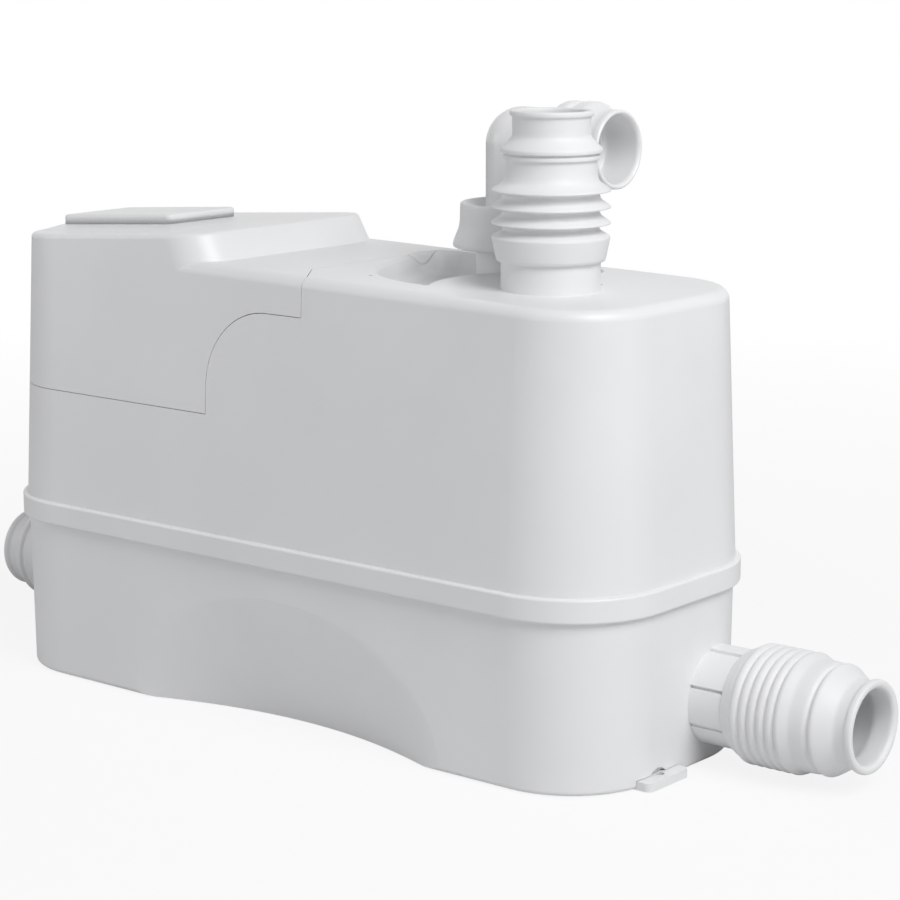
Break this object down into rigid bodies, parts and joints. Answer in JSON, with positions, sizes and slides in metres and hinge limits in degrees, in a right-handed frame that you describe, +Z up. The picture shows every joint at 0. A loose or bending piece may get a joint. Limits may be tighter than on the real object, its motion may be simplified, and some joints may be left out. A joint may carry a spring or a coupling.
{
  "type": "waste water lifting station",
  "caption": "White housing with a pump inside, ribbed side inlets, an upright top inlet and a turning discharge elbow.",
  "frame": {"origin": "centre of the housing's base, on the floor", "axes": "+X along the housing towards the end below the discharge, -Y the long front face with the shallow recess at its foot, +Z up"},
  "size_m": [0.563, 0.16, 0.305],
  "materials": {
    "housing": "satin white moulded plastic",
    "rubber": "matt white rubber",
    "elbow": "smooth white plastic",
    "seal": "black rubber",
    "inner_plastic": "grey moulded plastic",
    "filter": "black charcoal foam",
    "steel": "stainless steel",
    "motor": "drawn aluminium",
    "core": "stacked electrical steel",
    "copper": "enamelled copper wire"
  },
  "bodies": {
    "housing": {"tank": "housing", "lid": "housing", "left_inlet_sleeve": "rubber", "right_inlet_sleeve": "rubber", "top_inlet_sleeve": "rubber", "discharge_sleeve": "rubber", "left_floor_bracket": "housing", "right_floor_bracket": "housing", "rim_gasket": "seal", "left_flap_pin": "steel", "right_flap_pin": "steel", "top_inlet_pipe": "inner_plastic", "discharge_valve_seat": "inner_plastic", "discharge_flap_pin": "steel", "discharge_pipe": "inner_plastic", "discharge_seal": "seal", "pump_casing": "inner_plastic", "suction_plate": "inner_plastic", "pump_feet": "seal", "motor_casing": "motor", "motor_cap": "motor", "stator_core": "core", "motor_windings": "copper", "lower_bearing": "steel", "upper_bearing": "steel", "shaft_seal": "seal", "pump_deck": "inner_plastic", "deck_screws": "steel", "motor_screws": "steel", "dip_tube": "inner_plastic", "switch_housing": "inner_plastic", "switch_diaphragm": "seal", "switch_cap": "inner_plastic", "microswitch": "inner_plastic", "lever_pin": "steel", "electrics_tray": "inner_plastic", "capacitor": "motor", "terminal_block": "inner_plastic", "cable_gland": "housing", "gland_nut": "inner_plastic"},
    "service_cover": {"service_cover": "housing"},
    "vent": {"vent_cap": "housing", "charcoal_filter": "filter"},
    "elbow": {"discharge_elbow": "elbow"},
    "rotor": {"rotor_core": "core", "motor_shaft": "steel", "impeller": "inner_plastic"},
    "left_flap": {"left_inlet_flap": "seal"},
    "right_flap": {"right_inlet_flap": "seal"},
    "outlet_flap": {"discharge_flap": "seal"},
    "plunger": {"switch_plunger": "inner_plastic"},
    "lever": {"switch_lever": "steel"}
  },
  "joints": [
    {"name": "rotor_spin", "type": "hinge", "parent": "housing", "child": "rotor", "pos_m": [-0.09, 0.004, 0.05], "axis": [0, 0, 1], "continuous": true},
    {"name": "elbow_swivel", "type": "hinge", "parent": "housing", "child": "elbow", "pos_m": [0.074, 0.035, 0.25], "axis": [0, 0, 1], "range_deg": [0, 270]},
    {"name": "left_flap_hinge", "type": "hinge", "parent": "housing", "child": "left_flap", "pos_m": [-0.1755, 0.028, 0.057], "axis": [0, -1, 0], "range_deg": [0, 60]},
    {"name": "right_flap_hinge", "type": "hinge", "parent": "housing", "child": "right_flap", "pos_m": [0.1755, 0.028, 0.057], "axis": [0, 1, 0], "range_deg": [0, 60]},
    {"name": "outlet_flap_hinge", "type": "hinge", "parent": "housing", "child": "outlet_flap", "pos_m": [0.0578, 0.035, 0.2198], "axis": [0, -1, 0], "range_deg": [0, 60]},
    {"name": "plunger_slide", "type": "slide", "parent": "housing", "child": "plunger", "axis": [0, 0, 1], "range_m": [0, 0.0015]},
    {"name": "lever_hinge", "type": "hinge", "parent": "housing", "child": "lever", "pos_m": [0.034, -0.026, 0.1108], "axis": [0, 1, 0], "range_deg": [0, 9]},
    {"name": "service_cover_lift", "type": "slide", "parent": "housing", "child": "service_cover", "axis": [0, 0, 1], "range_m": [0, 0.06]},
    {"name": "vent_cap_lift", "type": "slide", "parent": "service_cover", "child": "vent", "axis": [0, 0, 1], "range_m": [0, 0.025]}
  ],
  "couplings": [
    {"joint": "lever_hinge", "follows": "plunger_slide", "rad_per_m": 100}
  ]
}
